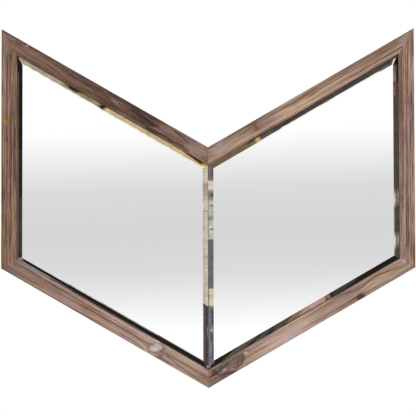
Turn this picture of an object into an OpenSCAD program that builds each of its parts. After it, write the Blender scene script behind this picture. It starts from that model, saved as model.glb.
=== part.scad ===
// Chevron wall mirror: two bevelled rhombus panes in a mitred frame of six wood members.
// X runs to the right as seen from the front, Z runs up and the front faces -Y.
// The back of the frame and of its backing board is the plane y = 0, and depths are measured
// forwards from it. The origin is at the middle of the overall width and height.

/* [Outline] */
// Overall width over the two side members
overall_w = 1016; // [940:1:1100]
// Length of each side member along its outer edge
side_h = 590; // [520:1:680]
// Slope of the top and bottom members, in degrees
slope = 30; // [26:0.5:34]

/* [Frame members] */
// Width of the members' face
face_w = 38; // [37:0.5:46]
// Depth of the members from back to front
frame_d = 25; // [24:0.5:32]
// Radius worn on the two front edges
edge_r = 1.6; // [0.5:0.1:3]
// Width of the step in the back that takes the board
rebate_w = 12; // [10:0.5:13]

/* [Mirror panes] */
// Thickness of the glass
glass_t = 5; // [4:0.5:6]
// Thickness left at the rim of the bevel
glass_rim_t = 2.2; // [1.5:0.1:3]
// Width of the bevel
bevel_w = 12.7; // [8:0.1:25]
// Length nipped off each corner of the glass along its edges
corner_nip = 1; // [0.5:0.1:3]
// Gap between the glass and the wood
glass_gap = 0.5; // [0.3:0.1:1.5]
// Gap between the two panes at the middle
pane_gap = 0.8; // [0.4:0.1:2]

/* [Backing] */
// Thickness of the backing board, and depth of the step that takes it
board_t = 9; // [7:0.5:10]
// Gap between the board and the step's side
board_gap = 0.5; // [0.3:0.1:1]
// Thickness of the foam tape between board and glass
tape_t = 1; // [0.8:0.1:1.5]
// Width of the foam tape
tape_w = 25; // [15:1:40]
// Strips of tape behind each pane
tape_count = 4; // [2:1:6]
// Distance from the ends of the tape to the edge of the glass
tape_margin = 25; // [15:1:60]

/* [Board screws] */
// Diameter of the shank
board_screw_d = 3.5; // [3:0.1:4]
// Diameter of the countersunk head
board_screw_head_d = 7; // [6:0.1:8]
// Length of the screw, head included
board_screw_len = 19; // [16:0.5:21]
// Screws along each member
board_screw_count = 3; // [2:1:5]

/* [Corner wedges] */
// Length of each leg of the V-shaped steel wedge
wedge_leg = 5; // [4:0.5:6]
// Thickness of the steel
wedge_t = 0.6; // [0.5:0.1:0.9]
// Depth that the wedges are driven from the back
wedge_depth = 14; // [10:0.5:18]
// Least distance between wedges along a mitre
wedge_pitch = 12; // [10:0.5:14]

/* [Hangers] */
// Height of the ring's pivot above the middle of the mirror
hanger_rise = 240; // [120:1:330]
// Width of the strap
strap_w = 14; // [12:0.5:16]
// Thickness of the strap
strap_t = 1.2; // [1:0.1:1.5]
// Gap between the hanging ring and the head of the upper screw
strap_screw_gap = 3; // [1:0.5:10]
// Distance between the two screws of a strap
strap_screw_pitch = 13; // [10:0.5:20]
// Distance from the lower screw to the round end of the strap
strap_end = 8; // [6:0.5:12]
// Diameter of the ring's wire
wire_d = 2.8; // [2.4:0.1:3.2]
// Gap between the wire and the rolled eye of the strap
eye_gap = 0.2; // [0.15:0.05:0.3]
// Gap where the rolled end of the strap comes back to its face
roll_gap = 0.3; // [0.2:0.05:0.5]
// Gap between the strap's edges and the sides of the ring
ring_side_gap = 2; // [1.2:0.1:2.5]
// Clear length inside the ring, from the pivot bar to the bow
ring_inner_len = 19.8; // [16:0.1:30]
// Radius of the ring's two upper corners, at the middle of the wire
ring_corner_r = 2.2; // [1.8:0.1:2.4]
// Diameter of the pan-head screw's shank
pan_screw_d = 4.2; // [3.5:0.1:4.8]
// Diameter of the pan head
pan_head_d = 8; // [7:0.1:9]
// Height of the pan head
pan_head_h = 2.4; // [2:0.1:3]
// Height of the rim of the pan head
pan_rim_h = 0.8; // [0.5:0.1:1.2]
// Length of the shank under the pan head
pan_screw_len = 16; // [12:0.5:18]

/* [Bumpers] */
// Diameter of the rubber bumpers
bumper_d = 12; // [8:0.5:16]
// Gap that the bumpers keep between the hangers and the wall
hanger_wall_gap = 0.4; // [0.2:0.1:3]
// Radius of the bumper's edge
bumper_edge_r = 1.2; // [0.5:0.1:2]
// Distance from a lower corner of the frame to its bumper, along the member
bumper_corner_dist = 60; // [50:1:160]

/* [Fits] */
// Clearance round the screws and wedges in the wood
driven_gap = 0.05; // [0.03:0.01:0.1]

/* [Hidden] */
$fn = 48;
// How far a cutting solid reaches past what it cuts
past = 1;
// Width of a screw's point, as a share of its shank
point_share = 0.25;

left_stile_colour = [0.50, 0.39, 0.33];
right_stile_colour = [0.57, 0.46, 0.41];
top_left_colour = [0.39, 0.30, 0.27];
top_right_colour = [0.66, 0.54, 0.46];
bottom_left_colour = [0.62, 0.52, 0.45];
bottom_right_colour = [0.66, 0.56, 0.50];
mirror_colour = [0.86, 0.87, 0.87];
steel_colour = [0.72, 0.72, 0.70];
board_colour = [0.62, 0.50, 0.37];
tape_colour = [0.93, 0.93, 0.90];
rubber_colour = [0.16, 0.16, 0.16];

// The outline, anticlockwise from the top left corner, as [x, z].
top_z = (side_h + overall_w / 2 * tan(slope)) / 2;
side_foot_z = top_z - side_h;
notch_z = -side_foot_z;
outline = [
    [-overall_w / 2, top_z],
    [-overall_w / 2, side_foot_z],
    [0, -top_z],
    [overall_w / 2, side_foot_z],
    [overall_w / 2, top_z],
    [0, notch_z]
];
corners = len(outline);

// Each member runs from the corner of the outline with its number to the next one.
LEFT_STILE = 0;
BOTTOM_LEFT = 1;
BOTTOM_RIGHT = 2;
RIGHT_STILE = 3;
TOP_RIGHT = 4;
TOP_LEFT = 5;
TIP = 2;
NOTCH = 5;

// Depths of the layers, from the back forwards.
tape_front = board_t + tape_t;
glass_front = tape_front + glass_t;

// Width of the flat back of a member, outside the step
back_w = face_w - rebate_w;
// Screws through the board stand at the middle of the step
screw_line = inset(outline, face_w - rebate_w / 2);
back_line = inset(outline, back_w);
board_outline = inset(outline, back_w + board_gap);
glass_outline = inset(outline, face_w + glass_gap);

board_screw_head_h = (board_screw_head_d - board_screw_d) / 2;

// The hangers stand on the middle of the side members' flat backs.
hanger_x = overall_w / 2 - back_w / 2;
// The ring's pivot axis lies one eye radius behind the back plane.
wire_r = wire_d / 2;
eye_bore_r = wire_r + eye_gap;
eye_r = eye_bore_r + strap_t;
// The ring, measured at the middle of its wire from the pivot
ring_inner_w = strap_w + 2 * ring_side_gap;
ring_half_w = ring_inner_w / 2 + wire_r;
ring_leg_end = wire_r + ring_inner_len - ring_inner_w / 2;
ring_reach = wire_r + ring_inner_len + wire_d;
// Distances down the strap from the pivot
upper_screw_drop = ring_reach + strap_screw_gap + pan_head_d / 2;
strap_len = upper_screw_drop + strap_screw_pitch + strap_end;
bumper_h = 2 * eye_r + hanger_wall_gap;

function unit(v) = v / norm(v);
function left_of(v) = [-v[1], v[0]];
function after(points, i) = points[(i + 1) % len(points)];
function before(points, i) = points[(i + len(points) - 1) % len(points)];
function inward(points, i) = left_of(unit(after(points, i) - points[i]));

// The outline moved inwards by a distance, with mitred corners, also at the notch.
function inset(points, distance) = [
    for (i = [0 : len(points) - 1])
        let (a = left_of(unit(points[i] - before(points, i))), b = inward(points, i))
            points[i] + (a + b) * distance / (1 + a * b)
];

function between(a, b, share) = a + (b - a) * share;

// An outline with each corner cut off straight
function nipped(points) = [
    for (i = [0 : len(points) - 1], other = [before(points, i), after(points, i)])
        points[i] + unit(other - points[i]) * corner_nip
];

// Places of the board screws in one member
function screw_points(i) = [
    for (k = [0 : board_screw_count - 1])
        between(screw_line[i], after(screw_line, i), (k + 0.5) / board_screw_count)
];

// Places of the two screws in the strap on the left, side -1, or on the right, side 1
function strap_screw_points(side) = [
    for (k = [0, 1])
        [side * hanger_x, hanger_rise - upper_screw_drop - k * strap_screw_pitch]
];

// Outlines of the panes, anticlockwise
left_pane = [
    glass_outline[0],
    glass_outline[1],
    [-pane_gap / 2, glass_outline[TIP][1] + pane_gap / 2 * tan(slope)],
    [-pane_gap / 2, glass_outline[NOTCH][1] + pane_gap / 2 * tan(slope)]
];
right_pane = [for (k = [3 : -1 : 0]) [-left_pane[k][0], left_pane[k][1]]];

// A slab of the given outline between two depths
module slab(points, from, to) {
    rotate([90, 0, 0])
        translate([0, 0, from])
            linear_extrude(to - from)
                polygon(points);
}

// Puts a shape on the line from a to b: its x goes inwards, its y forwards and its z along.
module along(a, b) {
    heading = atan2(b[1] - a[1], b[0] - a[0]);
    translate([a[0], 0, a[1]])
        rotate([180, -90 - heading, 0])
            children();
}

// Puts a shape at a point of the back with its z pointing forwards, into the wood.
module into_back(p) {
    translate([p[0], 0, p[1]])
        rotate([90, 0, 0])
            children();
}

// Puts a shape at a point of the back with its z pointing backwards, to the wall.
module onto_back(p) {
    translate([p[0], 0, p[1]])
        mirror([0, 1, 0])
            rotate([90, 0, 0])
                children();
}

// What a worn edge takes off a square corner at the origin
module worn_corner() {
    difference() {
        translate([-past, -past])
            square(edge_r + past);
        translate([edge_r, edge_r])
            circle(edge_r);
        translate([edge_r, -2 * past])
            square(edge_r + 2 * past);
        translate([-2 * past, edge_r])
            square(edge_r + 2 * past);
    }
}

// Section of the frame moulding: x inwards from the outer edge, y forwards from the back
module moulding_section() {
    difference() {
        square([face_w, frame_d]);
        translate([back_w, -past])
            square([rebate_w + past, board_t + past]);
        translate([0, frame_d])
            mirror([0, 1])
                worn_corner();
        translate([face_w, frame_d])
            rotate(180)
                worn_corner();
    }
}

// The space between the two mitre cuts of a member
module mitre_space(i) {
    outside = inset(outline, -past);
    inside = inset(outline, face_w + past);
    slab([outside[i], after(outside, i), after(inside, i), inside[i]], -past, frame_d + past);
}

// Countersunk screw with its flat head at z = 0, pointing along z and grown for its hole
module countersunk_screw(grow) {
    tip_len = board_screw_d;
    cylinder(h = board_screw_head_h, d1 = board_screw_head_d + 2 * grow, d2 = board_screw_d + 2 * grow);
    cylinder(h = board_screw_len - tip_len + grow, d = board_screw_d + 2 * grow);
    translate([0, 0, board_screw_len - tip_len + grow])
        cylinder(h = tip_len, d1 = board_screw_d + 2 * grow, d2 = board_screw_d * point_share + 2 * grow);
}

// Shank of a pan-head screw, pointing along z from z = 0 and grown for its hole
module pan_screw_shank(grow) {
    tip_len = pan_screw_d;
    cylinder(h = pan_screw_len - tip_len + grow, d = pan_screw_d + 2 * grow);
    translate([0, 0, pan_screw_len - tip_len + grow])
        cylinder(h = tip_len, d1 = pan_screw_d + 2 * grow, d2 = pan_screw_d * point_share + 2 * grow);
}

// Pan-head screw with the underside of its domed head at z = 0
module pan_screw() {
    dome_h = pan_head_h - pan_rim_h;
    dome_r = (pow(pan_head_d / 2, 2) + pow(dome_h, 2)) / (2 * dome_h);
    pan_screw_shank(0);
    intersection() {
        translate([0, 0, -pan_head_h])
            cylinder(h = pan_head_h, d = pan_head_d);
        translate([0, 0, dome_r - pan_head_h])
            sphere(dome_r, $fn = 96);
    }
}

// Section of a V-shaped wedge, its point outwards on the mitre and its legs either side of it
module wedge_section(grow) {
    for (turn = [-45, 45])
        rotate(turn)
            translate([-wedge_t / 2 - grow, -wedge_t / 2 - grow])
                square([wedge_leg + 2 * grow, wedge_t + 2 * grow]);
}

// The wedges across the mitre at one corner, as many as the mitre has room for
module mitre_wedges(i, grow) {
    run = back_line[i] - outline[i];
    count = floor(norm(run) / wedge_pitch);
    for (k = [1 : count])
        into_back(outline[i] + run * k / (count + 1))
            rotate(atan2(run[1], run[0]))
                translate([0, 0, -grow])
                    linear_extrude(wedge_depth + 2 * grow)
                        wedge_section(grow);
}

// One member of the frame, mitred at both ends
module member(i) {
    a = outline[i];
    b = after(outline, i);
    difference() {
        intersection() {
            along(a, b)
                translate([0, 0, -face_w])
                    linear_extrude(norm(b - a) + 2 * face_w)
                        moulding_section();
            mitre_space(i);
        }
        for (p = screw_points(i))
            into_back(p)
                countersunk_screw(driven_gap);
        mitre_wedges(i, driven_gap);
        mitre_wedges((i + 1) % corners, driven_gap);
        children();
    }
}

module strap_screw_holes(side) {
    for (p = strap_screw_points(side))
        into_back(p)
            translate([0, 0, -strap_t])
                pan_screw_shank(driven_gap);
}

module left_stile() {
    color(left_stile_colour)
        member(LEFT_STILE)
            strap_screw_holes(-1);
}

module right_stile() {
    color(right_stile_colour)
        member(RIGHT_STILE)
            strap_screw_holes(1);
}

module top_left_rail() {
    color(top_left_colour)
        member(TOP_LEFT);
}

module top_right_rail() {
    color(top_right_colour)
        member(TOP_RIGHT);
}

module bottom_left_rail() {
    color(bottom_left_colour)
        member(BOTTOM_LEFT);
}

module bottom_right_rail() {
    color(bottom_right_colour)
        member(BOTTOM_RIGHT);
}

// A pane of mirror glass, ground to a shallow bevel along each of its edges
module bevelled_pane(points) {
    fall = (glass_t - glass_rim_t) / bevel_w;
    difference() {
        slab(nipped(points), tape_front, glass_front);
        for (i = [0 : len(points) - 1])
            along(points[i], after(points, i))
                translate([0, tape_front + glass_rim_t, -bevel_w])
                    linear_extrude(norm(after(points, i) - points[i]) + 2 * bevel_w)
                        polygon([
                            [-past, -past * fall],
                            [bevel_w + past, (bevel_w + past) * fall],
                            [-past, (bevel_w + past) * fall]
                        ]);
    }
}

module left_mirror_pane() {
    color(mirror_colour)
        bevelled_pane(left_pane);
}

module right_mirror_pane() {
    color(mirror_colour)
        bevelled_pane(right_pane);
}

// Upright strips of foam tape behind one pane, cut square within its slanted ends
module tape_strips(side) {
    pane_w = overall_w / 2 - face_w;
    for (k = [0 : tape_count - 1]) {
        middle = pane_w * (k + 0.5) / tape_count;
        foot = glass_outline[TIP][1] + (middle + tape_w / 2) * tan(slope) + tape_margin;
        head = glass_outline[NOTCH][1] + (middle - tape_w / 2) * tan(slope) - tape_margin;
        translate([side * middle - tape_w / 2, -tape_front, foot])
            cube([tape_w, tape_t, head - foot]);
    }
}

module left_tape_strips() {
    color(tape_colour)
        tape_strips(-1);
}

module right_tape_strips() {
    color(tape_colour)
        tape_strips(1);
}

// Backing board, let into the step of the frame and screwed to it
module backing_board() {
    color(board_colour)
        difference() {
            slab(board_outline, 0, board_t);
            for (i = [0 : corners - 1], p = screw_points(i))
                into_back(p)
                    countersunk_screw(driven_gap);
        }
}

module backing_screws() {
    color(steel_colour)
        for (i = [0 : corners - 1], p = screw_points(i))
            into_back(p)
                countersunk_screw(0);
}

module corner_wedges() {
    color(steel_colour)
        for (i = [0 : corners - 1])
            mitre_wedges(i, 0);
}

// Steel strap with its top end rolled into an eye for the ring
module hanger_strap(side) {
    square_len = strap_len - strap_w / 2;
    difference() {
        union() {
            onto_back([side * hanger_x, hanger_rise])
                linear_extrude(strap_t) {
                    translate([-strap_w / 2, -square_len])
                        square([strap_w, square_len]);
                    translate([0, -square_len])
                        circle(d = strap_w);
                }
            hanger_axis(side)
                cylinder(h = strap_w, r = eye_r, center = true);
        }
        hanger_axis(side)
            cylinder(h = strap_w + 2 * past, r = eye_bore_r, center = true);
        translate([side * hanger_x - strap_w, strap_t, hanger_rise - eye_r - past])
            cube([2 * strap_w, roll_gap, eye_r + past]);
        strap_screw_holes(side);
    }
}

// Puts a shape on the ring's pivot with its z along the pivot
module hanger_axis(side) {
    translate([side * hanger_x, eye_r, hanger_rise])
        rotate([0, 90, 0])
            children();
}

module left_hanger_strap() {
    color(steel_colour)
        hanger_strap(-1);
}

module right_hanger_strap() {
    color(steel_colour)
        hanger_strap(1);
}

// D-shaped wire ring hanging straight down from its pivot bar
module hanger_ring(side) {
    straight = ring_half_w - ring_corner_r;
    leg_len = ring_leg_end - ring_corner_r;
    translate([side * hanger_x, eye_r, hanger_rise]) {
        rotate([0, 90, 0])
            cylinder(h = 2 * straight, r = wire_r, center = true);
        for (turn = [0, 180])
            rotate([0, 0, turn]) {
                translate([straight, 0, -ring_corner_r])
                    rotate([90, 0, 0])
                        rotate_extrude(angle = 90)
                            translate([ring_corner_r, 0])
                                circle(wire_r);
                translate([ring_half_w, 0, -ring_corner_r - leg_len])
                    cylinder(h = leg_len, r = wire_r);
            }
        translate([0, 0, -ring_leg_end])
            rotate([-90, 0, 0])
                rotate_extrude(angle = 180)
                    translate([ring_half_w, 0])
                        circle(wire_r);
    }
}

module left_hanger_ring() {
    color(steel_colour)
        hanger_ring(-1);
}

module right_hanger_ring() {
    color(steel_colour)
        hanger_ring(1);
}

module hanger_screws(side) {
    for (p = strap_screw_points(side))
        into_back(p)
            translate([0, 0, -strap_t])
                pan_screw();
}

module left_hanger_screws() {
    color(steel_colour)
        hanger_screws(-1);
}

module right_hanger_screws() {
    color(steel_colour)
        hanger_screws(1);
}

module bumper() {
    rotate_extrude() {
        square([bumper_d / 2 - bumper_edge_r, bumper_h]);
        square([bumper_d / 2, bumper_h - bumper_edge_r]);
        translate([bumper_d / 2 - bumper_edge_r, bumper_h - bumper_edge_r])
            intersection() {
                circle(bumper_edge_r);
                square(bumper_edge_r);
            }
    }
}

// Rubber bumpers on the flat backs, two up the side members and two up the lower rails
module wall_bumpers() {
    middle_line = inset(outline, back_w / 2);
    foot = middle_line[BOTTOM_LEFT];
    tip = middle_line[TIP];
    on_stile = foot + [0, bumper_corner_dist];
    on_rail = tip + unit(foot - tip) * bumper_corner_dist;
    color(rubber_colour)
        for (side = [-1, 1], p = [on_stile, on_rail])
            onto_back([-side * p[0], p[1]])
                bumper();
}

left_stile();
right_stile();
top_left_rail();
top_right_rail();
bottom_left_rail();
bottom_right_rail();
left_mirror_pane();
right_mirror_pane();
left_tape_strips();
right_tape_strips();
backing_board();
backing_screws();
corner_wedges();
left_hanger_strap();
right_hanger_strap();
left_hanger_ring();
right_hanger_ring();
left_hanger_screws();
right_hanger_screws();
wall_bumpers();
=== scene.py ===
# %% [markdown]
# ## A chevron wall mirror
# The real thing is a V-shaped frame of six mitred boards of weathered wood. Two rhombus panes of
# bevelled mirror meet on its centre line, and steel hangers on the back carry it on the wall.
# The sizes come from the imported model, which is loaded first. Lengths are in metres, and the
# mirror faces along -Y.

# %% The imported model
import math
import random

import bmesh
import bpy
from mathutils import Matrix, Vector, noise


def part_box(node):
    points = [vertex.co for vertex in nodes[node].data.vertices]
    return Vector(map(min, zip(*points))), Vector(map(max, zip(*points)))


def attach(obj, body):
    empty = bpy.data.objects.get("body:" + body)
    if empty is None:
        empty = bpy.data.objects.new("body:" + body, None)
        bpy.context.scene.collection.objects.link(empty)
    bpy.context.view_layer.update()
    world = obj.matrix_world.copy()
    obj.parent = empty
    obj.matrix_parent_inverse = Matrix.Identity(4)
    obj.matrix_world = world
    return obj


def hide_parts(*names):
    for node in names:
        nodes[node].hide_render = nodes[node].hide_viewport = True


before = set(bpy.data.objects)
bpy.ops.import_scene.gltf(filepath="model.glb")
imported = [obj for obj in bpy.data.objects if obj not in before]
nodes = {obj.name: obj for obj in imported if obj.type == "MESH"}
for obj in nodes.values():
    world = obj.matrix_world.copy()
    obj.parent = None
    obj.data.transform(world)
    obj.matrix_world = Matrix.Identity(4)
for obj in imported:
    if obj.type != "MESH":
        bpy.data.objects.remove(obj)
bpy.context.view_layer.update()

MM = 0.001

# %% [markdown]
# ## The outline
# Every board runs along one side of the outline, so the outline is the only shape that has to be
# known. It is read back from the boxes of two boards. Going round anticlockwise, the wood always
# lies on the left, which gives one rule for all six.

# %% Corners of the outline
stile_low, stile_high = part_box("left_stile")
HALF_W = -stile_low.x
FACE_W = stile_high.x - stile_low.x
FRAME_D = -stile_low.y
TOP_Z = stile_high.z
FOOT_Z = stile_low.z
TIP_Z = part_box("bottom_left_rail")[0].z
NOTCH_Z = TOP_Z + TIP_Z - FOOT_Z
SLOPE = math.atan2(FOOT_Z - TIP_Z, HALF_W)
OUTLINE = [
    Vector((-HALF_W, 0, TOP_Z)),
    Vector((-HALF_W, 0, FOOT_Z)),
    Vector((0, 0, TIP_Z)),
    Vector((HALF_W, 0, FOOT_Z)),
    Vector((HALF_W, 0, TOP_Z)),
    Vector((0, 0, NOTCH_Z)),
]
SIDES = {
    "left_stile": 0,
    "bottom_left_rail": 1,
    "bottom_right_rail": 2,
    "right_stile": 3,
    "top_right_rail": 4,
    "top_left_rail": 5,
}


def board_matrix(name):
    """Turns a board's own coordinates into the frame's: x along, y across inwards, z forwards."""
    start = OUTLINE[SIDES[name]]
    heading = (OUTLINE[(SIDES[name] + 1) % 6] - start).normalized()
    inward = Vector((-heading.z, 0, heading.x))
    forward = Vector((0, -1, 0))
    return Matrix.Translation(start) @ Matrix((heading, inward, forward)).transposed().to_4x4()


def board_length(name):
    """Length of a board along its outer edge."""
    return (OUTLINE[(SIDES[name] + 1) % 6] - OUTLINE[SIDES[name]]).length


print("slope:", round(math.degrees(SLOPE), 2))
print("face and depth, mm:", round(FACE_W / MM, 1), round(FRAME_D / MM, 1))
print("board lengths, mm:", [round(board_length(name) / MM, 1) for name in SIDES])

# %% [markdown]
# ## The camera
# The photo looks straight at the mirror from some way off, with a long lens: its edges are nearly
# parallel and the middle bevels look as wide as the outer ones. A 135 mm lens on a 36 mm sensor
# does the same, and the distance follows from how much of the picture the mirror fills. The foot
# of the mirror is drawn a little wider than its top, so the camera stands low and looks up.

# %% Camera
# The photo and the mirror in it have these widths in pixels. The rise and the roll are in degrees.
PHOTO_PX = 416
MIRROR_PX = 414.2
LENS = 135
SENSOR = 36
VIEW_W = 2 * HALF_W * PHOTO_PX / MIRROR_PX
CAMERA_DISTANCE = VIEW_W * LENS / SENSOR
CAMERA_RISE = 2.1
CAMERA_ROLL = 0.14
AIM = Vector((-0.6 * MM, -FRAME_D, -1.3 * MM))

camera_data = bpy.data.cameras.new("photo_camera")
camera_data.lens = LENS
camera_data.sensor_width = SENSOR
camera = bpy.data.objects.new("photo_camera", camera_data)
rise = math.radians(CAMERA_RISE)
camera.location = AIM - Vector((0, math.cos(rise), math.sin(rise))) * CAMERA_DISTANCE
camera.rotation_euler = (math.radians(90) + rise, math.radians(CAMERA_ROLL), 0)
bpy.context.scene.collection.objects.link(camera)
bpy.context.scene.camera = camera
bpy.context.scene.view_settings.view_transform = "Standard"
print("camera distance, m:", round(CAMERA_DISTANCE, 3))

# %% [markdown]
# ## Short names for nodes
# A material is a tree of nodes. Adding a node, setting it and wiring it takes four lines each
# time, so a few helpers do that in one. A colour is written as the eye sees it on a screen, from
# 0 to 255, and turned into the linear light that the renderer reckons with.


# %% Node helpers
def screen(red, green, blue):
    """A colour as seen on a screen, from 0 to 255, as linear light."""
    def linear(value):
        share = value / 255
        return share / 12.92 if share < 0.04045 else ((share + 0.055) / 1.055) ** 2.4
    return (linear(red), linear(green), linear(blue), 1)


def fill(tree, node, inputs):
    """Sets a node's inputs, and wires those whose value comes from another node."""
    for key, value in inputs.items():
        if isinstance(value, bpy.types.NodeSocket):
            tree.links.new(value, node.inputs[key])
        else:
            node.inputs[key].default_value = value


def add(tree, kind, inputs=None, **settings):
    """Adds a shader node, makes its settings, and fills its inputs."""
    made = tree.nodes.new("ShaderNode" + kind)
    for key, value in settings.items():
        setattr(made, key, value)
    fill(tree, made, inputs or {})
    return made


def reckon(tree, operation, *values, clamp=False):
    """A Math node on one, two or three values or sockets."""
    return add(tree, "Math", dict(enumerate(values)), operation=operation, use_clamp=clamp).outputs[0]


def reckon_vector(tree, operation, *vectors):
    """A Vector Math node on one or two vectors."""
    made = add(tree, "VectorMath", dict(enumerate(vectors)), operation=operation)
    return made.outputs["Value" if operation in ("LENGTH", "DOT_PRODUCT") else "Vector"]


def scale_vector(tree, vector, share):
    """A vector made longer or shorter."""
    return add(tree, "VectorMath", {0: vector, "Scale": share}, operation="SCALE").outputs[0]


def stretch(tree, value, low, high, to_low=0.0, to_high=1.0, kind="SMOOTHSTEP"):
    """Maps the range from low to high onto another, with soft ends."""
    inputs = {0: value, 1: low, 2: high, 3: to_low, 4: to_high}
    return add(tree, "MapRange", inputs, interpolation_type=kind).outputs[0]


def mix(tree, share, first, second, mode="MIX"):
    """Mixes two colours."""
    return add(tree, "Mix", {0: share, 6: first, 7: second}, data_type="RGBA", blend_type=mode).outputs[2]


def lay_over(tree, colour, mask, strength, layer):
    """Lays a second colour over the first where a mask says, at a strength."""
    return mix(tree, reckon(tree, "MULTIPLY", mask, strength), colour, layer)


def ramp(tree, value, stops, kind="LINEAR"):
    """A ColorRamp. Each stop is a place and a colour, or a place and a grey value."""
    made = add(tree, "ValToRGB", {0: value})
    elements = made.color_ramp.elements
    made.color_ramp.interpolation = kind
    while len(elements) < len(stops):
        elements.new(0.5)
    for element, (place, colour) in zip(elements, stops):
        element.position = place
        element.color = colour if isinstance(colour, tuple) else (colour, colour, colour, 1)
    return made.outputs[0]


def noise_at(tree, vector, scale, detail=2.0, roughness=0.5):
    """A Noise texture read at a vector."""
    inputs = {"Vector": vector, "Scale": scale, "Detail": detail, "Roughness": roughness}
    return add(tree, "TexNoise", inputs).outputs[0]


def bumps(tree, height, strength, distance):
    """A bumpy surface, as a normal."""
    return add(tree, "Bump", {"Height": height, "Strength": strength, "Distance": distance}).outputs[0]


def new_material(name):
    """A new material, its tree and its shader."""
    material = bpy.data.materials.new(name)
    material.use_nodes = True
    return material, material.node_tree, material.node_tree.nodes["Principled BSDF"]


def new_group(name, vectors_in, values_in, values_out, vectors_out=()):
    """An empty node group with the named sockets. Gives its tree, its inputs and its end."""
    tree = bpy.data.node_groups.new(name, "ShaderNodeTree")
    sockets = [("INPUT", "Vector", vectors_in), ("INPUT", "Float", values_in)]
    sockets += [("OUTPUT", "Float", values_out), ("OUTPUT", "Vector", vectors_out)]
    for side, kind, names in sockets:
        for socket_name in names:
            tree.interface.new_socket(socket_name, in_out=side, socket_type="NodeSocket" + kind)
    return tree, tree.nodes.new("NodeGroupInput").outputs, tree.nodes.new("NodeGroupOutput")


# %% [markdown]
# ## What a bevel sees
# A mirror has no colour of its own, so it shows what stands in front of it. The flat panes look
# straight back past the camera. A bevel is a thin wedge of glass over the silver, and it bends
# the view inwards, over the middle of its pane, so the wood beside it never shows in it. It is
# drawn here as bare metal whose shading leans inwards as far as the glass leans outwards. The
# camera's ray turned round by that slope gives the direction that shows at a point of a bevel.
# Turned round the other way, a direction of the room gives the point where it shows.

# %% Directions seen in the bevels
GLASS_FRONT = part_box("left_mirror_pane")[0].y
GLASS_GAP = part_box("left_mirror_pane")[0].x - stile_high.x
BEVEL_W = 12.7 * MM
BEVEL_FALL = 2.8 * MM
BEVEL_TILT = math.atan2(BEVEL_FALL, BEVEL_W)


def bevel_frame(edge):
    """The point of a bevel at place 0 on its rim, and the ways along it and across it.
    A place is a length along the board beside it, or a height on the two in the middle."""
    if edge in SIDES:
        turn = board_matrix(edge)
        along, across = (turn.to_3x3() @ Vector(way) for way in ((1, 0, 0), (0, 1, 0)))
        return turn @ Vector((0, FACE_W + GLASS_GAP, -GLASS_FRONT)), along, across
    side = -1 if edge == "left_middle" else 1
    return Vector((0, GLASS_FRONT, 0)), Vector((0, 0, 1)), Vector((side, 0, 0))


def bevel_lean(edge):
    """The way a bevel's view is bent: forwards, and inwards over its pane."""
    across = bevel_frame(edge)[2]
    return across * math.sin(BEVEL_TILT) + Vector((0, -math.cos(BEVEL_TILT), 0))


for edge in SIDES:
    start, along, across = bevel_frame(edge)
    ray = start + along * board_length(edge) / 2 - camera.location
    way = ray.reflect(bevel_lean(edge)).normalized()
    sideways, up = math.degrees(math.atan2(way.x, -way.y)), math.degrees(math.asin(way.z))
    print(edge, "bevel looks to", round(sideways, 1), "sideways and", round(up, 1), "up")

# %% [markdown]
# ## The studio
# The camera and the mirror see a white room with a soft grey horizon, which is what grades the
# panes from white through pale grey to white. Coloured cards and black flags stand where only the
# bevels look. All of it is the world's colour, read by direction, so that it stays put when the
# camera moves. Plain surfaces are lit by an even pale grey instead.

# %% One soft-edged card
# A card is a window over the places and the shares of a bevel. Its lean moves the far side along.
CARD_VALUES = ("Place", "Share", "Start", "End", "Near", "Far", "Lean", "Soft Ends", "Soft Sides")
card_group, card_in, card_end = new_group("studio_card", (), CARD_VALUES, ("Mask",))


def inside(value, low, high, soft):
    """1 well between low and high, and 0 beyond them."""
    to_low = reckon(card_group, "SUBTRACT", value, low)
    to_high = reckon(card_group, "SUBTRACT", high, value)
    return stretch(card_group, reckon(card_group, "MINIMUM", to_low, to_high), 0.0, soft)


off_middle = reckon(card_group, "SUBTRACT", 0.5, card_in["Share"])
slid = reckon(card_group, "MULTIPLY_ADD", off_middle, card_in["Lean"], card_in["Place"])
ends = inside(slid, card_in["Start"], card_in["End"], card_in["Soft Ends"])
sides = inside(card_in["Share"], card_in["Near"], card_in["Far"], card_in["Soft Sides"])
fill(card_group, card_end, {"Mask": reckon(card_group, "MULTIPLY", ends, sides)})

# %% World
# The horizon's grey band is the same above and below its middle. Its greys come with how far from
# the middle they are, in degrees. The room's white wall ends between two angles off straight
# ahead, and beyond it the room is greyest low down.
HORIZON_MIDDLE = -0.8
HORIZON_GREYS = [(3.65, 255), (1.9, 225), (1.45, 219), (0.7, 215)]
HORIZON_DARKEST = 213.5
HORIZON_TILT = 0.026
HORIZON_SPAN = 8.0
ROOM_COLOURS = [(0.0, (150, 149, 147)), (0.42, (184, 183, 180)), (0.5, (196, 195, 192))]
ROOM_COLOURS += [(0.62, (214, 214, 212)), (0.9, (240, 240, 239))]
ROOM_SPAN = 60.0
WALL_ANGLES = (13, 36)
WHITE = (1, 1, 1, 1)
MIRROR_SHINE = 0.96
DEGREES = 180 / math.pi

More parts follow.
